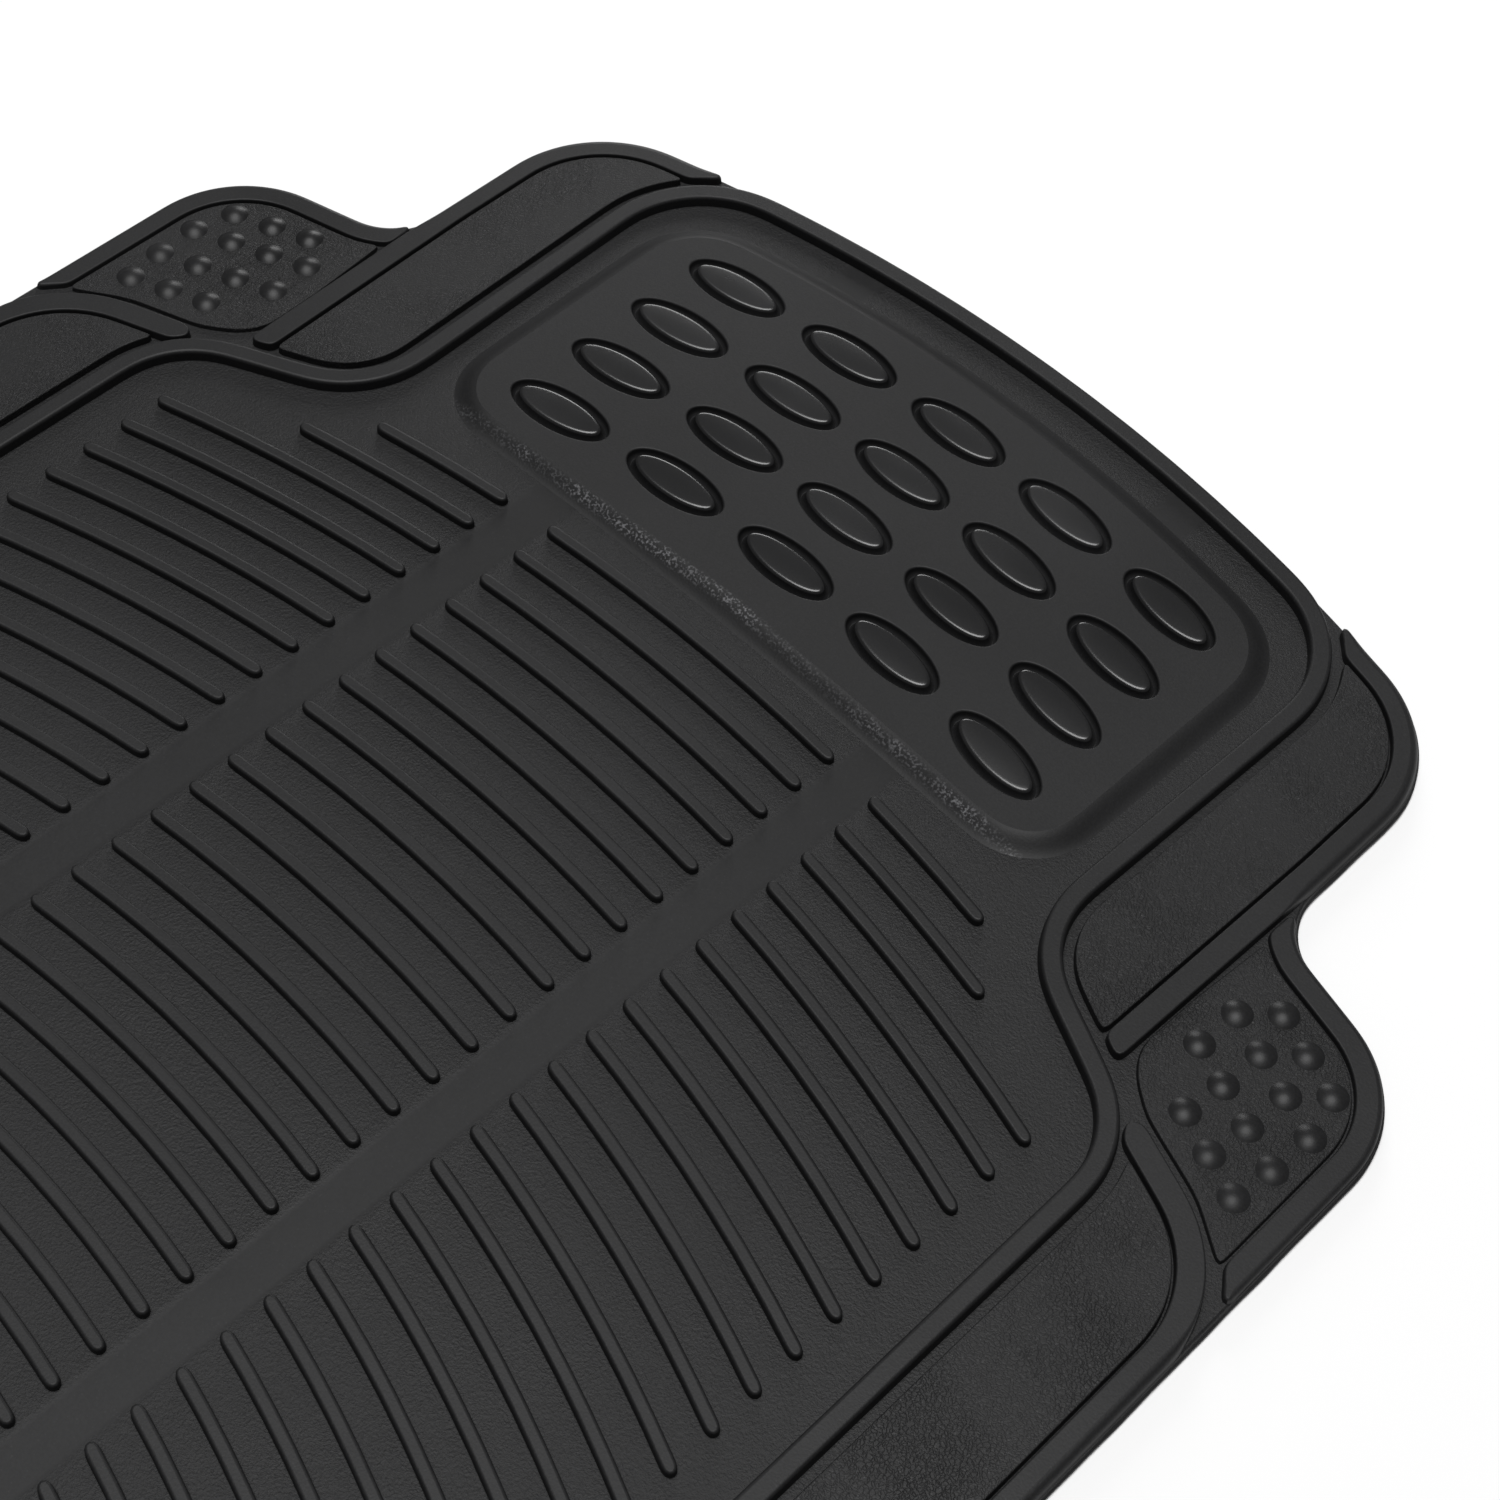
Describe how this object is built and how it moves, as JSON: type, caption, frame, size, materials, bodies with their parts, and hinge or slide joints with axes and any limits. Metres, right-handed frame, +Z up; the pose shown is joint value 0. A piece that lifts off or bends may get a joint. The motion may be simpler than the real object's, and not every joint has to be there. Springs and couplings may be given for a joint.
{
  "type": "floor mat",
  "caption": "Moulded rubber footwell mat: ribbed tray inside a raised rim, oval-studded heel panel, dimpled side pads and a banded outer edge.",
  "frame": {"origin": "bottom centre of the mat's outside box, on the floor", "axes": "+X across the mat to the right, +Y along the mat to the far (pedal) end, +Z up"},
  "size_m": [0.4616, 0.7099, 0.0067],
  "materials": {
    "smooth_rubber": "satin moulded black rubber",
    "grained_rubber": "leather-grained black rubber",
    "stippled_rubber": "fine-stippled matt black rubber"
  },
  "bodies": {
    "root": {"mat_sheet": "stippled_rubber", "underside_nibs": "stippled_rubber", "tray_rim": "smooth_rubber", "heel_panel": "smooth_rubber", "oval_studs": "smooth_rubber", "ribs_left": "smooth_rubber", "ribs_centre": "smooth_rubber", "ribs_right": "smooth_rubber", "corner_band_left": "smooth_rubber", "corner_panel_left": "grained_rubber", "pad_band_left": "smooth_rubber", "dimple_pad_left": "grained_rubber", "dimples_left": "smooth_rubber", "side_band_left": "smooth_rubber", "side_panel_left": "grained_rubber", "corner_band_right": "smooth_rubber", "corner_panel_right": "grained_rubber", "pad_band_right": "smooth_rubber", "dimple_pad_right": "grained_rubber", "dimples_right": "smooth_rubber", "side_band_right": "smooth_rubber", "side_panel_right": "grained_rubber", "near_band": "smooth_rubber", "near_panel": "grained_rubber"}
  },
  "joints": []
}
